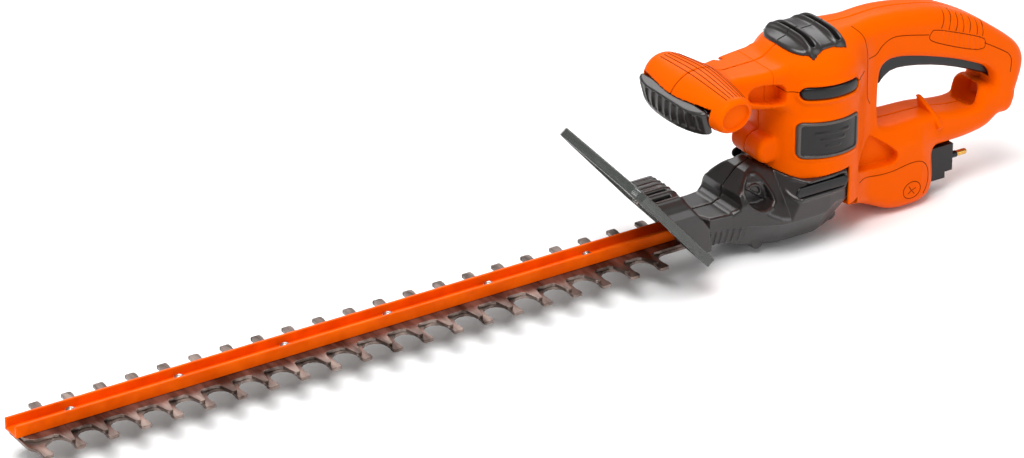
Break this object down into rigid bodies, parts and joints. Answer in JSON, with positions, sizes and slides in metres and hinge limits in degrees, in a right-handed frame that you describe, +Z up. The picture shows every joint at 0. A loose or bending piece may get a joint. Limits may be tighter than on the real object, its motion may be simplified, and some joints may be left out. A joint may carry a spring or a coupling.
{
  "type": "hedge trimmer",
  "caption": "Corded electric hedge trimmer: double-sided reciprocating blades under a channel beam, D-shaped rear grip with trigger, T-shaped front grip with lever, and a clear hand guard.",
  "frame": {"origin": "on the gear case's flat underside, below the axis of the crank gear, in the tool's middle plane", "axes": "+X forward to the blade tip, +Y to the operator's left, +Z up; the blades lie flat, parallel to the sole"},
  "size_m": [0.7496, 0.1042, 0.143],
  "materials": {
    "orange_plastic": "satin",
    "grey_plastic": "satin",
    "black_plastic": "satin",
    "red_plastic": "gloss",
    "smoke_plastic": "gloss, smoky and see-through",
    "orange_paint": "gloss",
    "blade_steel": "brushed",
    "bright_steel": "plated",
    "dark_steel": "dull",
    "bronze": "sintered",
    "brass": "bright",
    "copper": "enamelled copper",
    "cast_alloy": "as cast",
    "white_plastic": "natural nylon",
    "carbon": "dull",
    "yellow_plastic": "gloss",
    "lead_sheath": "satin"
  },
  "bodies": {
    "trimmer": {"housing_left": "orange_plastic", "housing_right": "orange_plastic", "front_handle_left": "orange_plastic", "front_handle_right": "orange_plastic", "gear_case_left": "grey_plastic", "gear_case_right": "grey_plastic", "vent_cap_left": "black_plastic", "vent_cap_right": "black_plastic", "side_vents": "black_plastic", "exhaust_vents": "black_plastic", "side_plates": "grey_plastic", "guard": "smoke_plastic", "guard_collar": "grey_plastic", "guard_screws": "bright_steel", "blade_beam": "orange_paint", "beam_pins": "bright_steel", "blade_bolts": "bright_steel", "blade_sleeves": "bright_steel", "blade_washers": "bright_steel", "blade_nuts": "bright_steel", "gear_shaft": "bright_steel", "bearing_plate": "cast_alloy", "drive_end_bush": "bronze", "commutator_end_bush": "bronze", "stator_core": "dark_steel", "field_coils": "copper", "brush_holders": "brass", "carbon_brushes": "carbon", "brush_springs": "bright_steel", "trigger_pin": "bright_steel", "trigger_spring": "bright_steel", "rear_switch": "black_plastic", "lever_springs": "bright_steel", "front_switch": "black_plastic", "inlet_block": "black_plastic", "inlet_pins": "brass", "pin_sleeves": "black_plastic", "suppressor_capacitor": "yellow_plastic", "motor_leads": "lead_sheath", "housing_screws": "bright_steel", "front_handle_screws": "bright_steel", "gear_case_screws": "bright_steel"},
    "upper_blade": {"upper_blade": "blade_steel"},
    "lower_blade": {"lower_blade": "blade_steel"},
    "armature": {"armature_shaft": "bright_steel", "armature_core": "dark_steel", "armature_windings": "copper", "commutator": "copper", "cooling_fan": "white_plastic", "pinion": "bright_steel"},
    "crank": {"crank_gear": "bright_steel", "gear_bush": "bronze", "upper_eccentric": "dark_steel", "lower_eccentric": "dark_steel", "eccentric_pins": "bright_steel"},
    "rear_trigger": {"rear_trigger": "black_plastic"},
    "rear_button": {"rear_switch_button": "red_plastic"},
    "front_lever": {"front_lever": "grey_plastic"},
    "front_button": {"front_switch_button": "red_plastic"}
  },
  "joints": [
    {"name": "upper_blade_slide", "type": "slide", "parent": "trimmer", "child": "upper_blade", "axis": [1, 0, 0], "range_m": [-0.011, 0]},
    {"name": "lower_blade_slide", "type": "slide", "parent": "trimmer", "child": "lower_blade", "axis": [1, 0, 0], "range_m": [0, 0.011]},
    {"name": "armature_spin", "type": "hinge", "parent": "trimmer", "child": "armature", "pos_m": [-0.035, 0, 0.08], "axis": [0, 0, 1], "continuous": true},
    {"name": "crank_spin", "type": "hinge", "parent": "trimmer", "child": "crank", "pos_m": [0, 0, 0.027], "axis": [0, 0, 1], "continuous": true},
    {"name": "rear_trigger_pull", "type": "hinge", "parent": "trimmer", "child": "rear_trigger", "pos_m": [-0.096, 0, 0.116], "axis": [0, 1, 0], "range_deg": [0, 4.5], "stiffness_Nm_per_rad": 5, "springref_deg": -114.59, "deforming": ["trigger_spring"]},
    {"name": "rear_button_press", "type": "slide", "parent": "trimmer", "child": "rear_button", "axis": [0, 0, 1], "range_m": [0, 0.0027]},
    {"name": "front_lever_press", "type": "slide", "parent": "trimmer", "child": "front_lever", "axis": [-0.9613, 0, 0.2756], "range_m": [0, 0.004], "stiffness_N_per_m": 1500, "springref_m": -0.002},
    {"name": "front_button_press", "type": "slide", "parent": "trimmer", "child": "front_button", "axis": [-0.9613, 0, 0.2756], "range_m": [0, 0.004]}
  ],
  "couplings": [
    {"joint": "lower_blade_slide", "follows": "upper_blade_slide", "ratio": -1},
    {"joint": "crank_spin", "follows": "armature_spin", "ratio": -0.25},
    {"joint": "rear_button_press", "follows": "rear_trigger_pull", "m_per_rad": 0.034},
    {"joint": "front_button_press", "follows": "front_lever_press", "ratio": 1}
  ]
}
